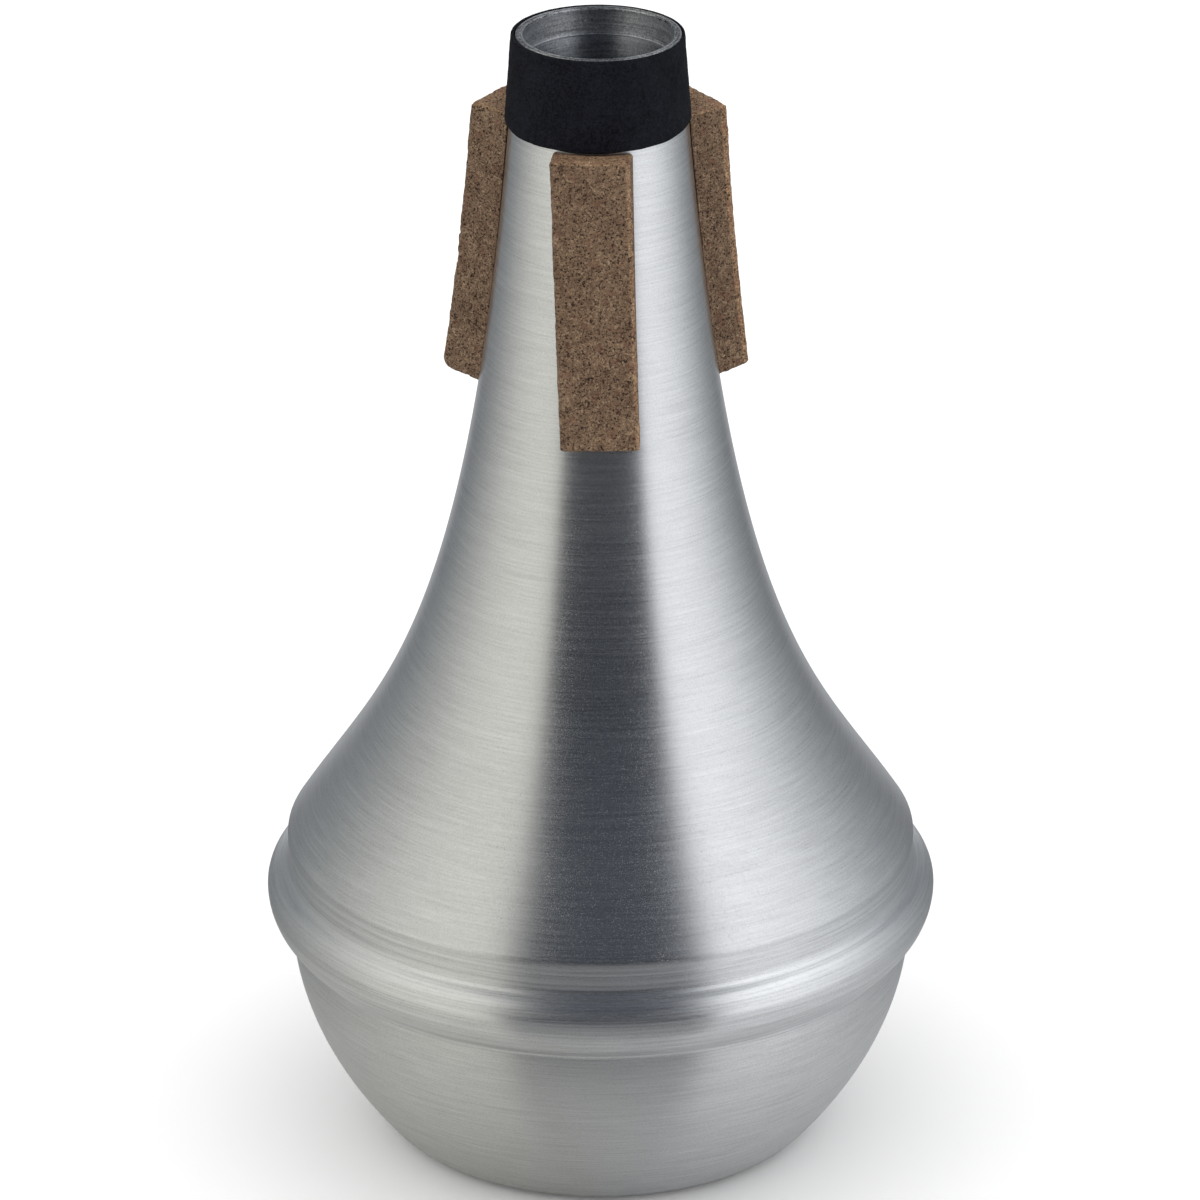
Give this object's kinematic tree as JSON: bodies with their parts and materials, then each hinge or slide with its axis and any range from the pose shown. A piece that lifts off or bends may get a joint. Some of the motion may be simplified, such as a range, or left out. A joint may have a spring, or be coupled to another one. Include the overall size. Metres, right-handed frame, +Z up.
{
  "type": "trumpet straight mute",
  "caption": "Spun aluminium straight mute for a trumpet: flared cone and bowl locked by a rolled bead, black sleeve at the mouth and cork strips that hold it in the bell.",
  "frame": {"origin": "centre of the flat foot of the bowl, on the surface that the mute stands on", "axes": "+Z runs up the axis of the mute to its mouth, -Y is the front with the cork that faces the viewer, +X is to the viewer's right"},
  "size_m": [0.101, 0.101, 0.1735],
  "materials": {
    "cone_aluminium": "spun and brushed round the axis, satin",
    "bowl_aluminium": "spun and brushed round the axis, satin",
    "sleeve_black": "matt, finely grained",
    "cork": "agglomerated cork, sawn and unsealed"
  },
  "bodies": {
    "root": {"cone_shell": "cone_aluminium", "end_bowl": "bowl_aluminium", "neck_sleeve": "sleeve_black", "cork_front": "cork", "cork_left": "cork", "cork_right": "cork"}
  },
  "joints": []
}
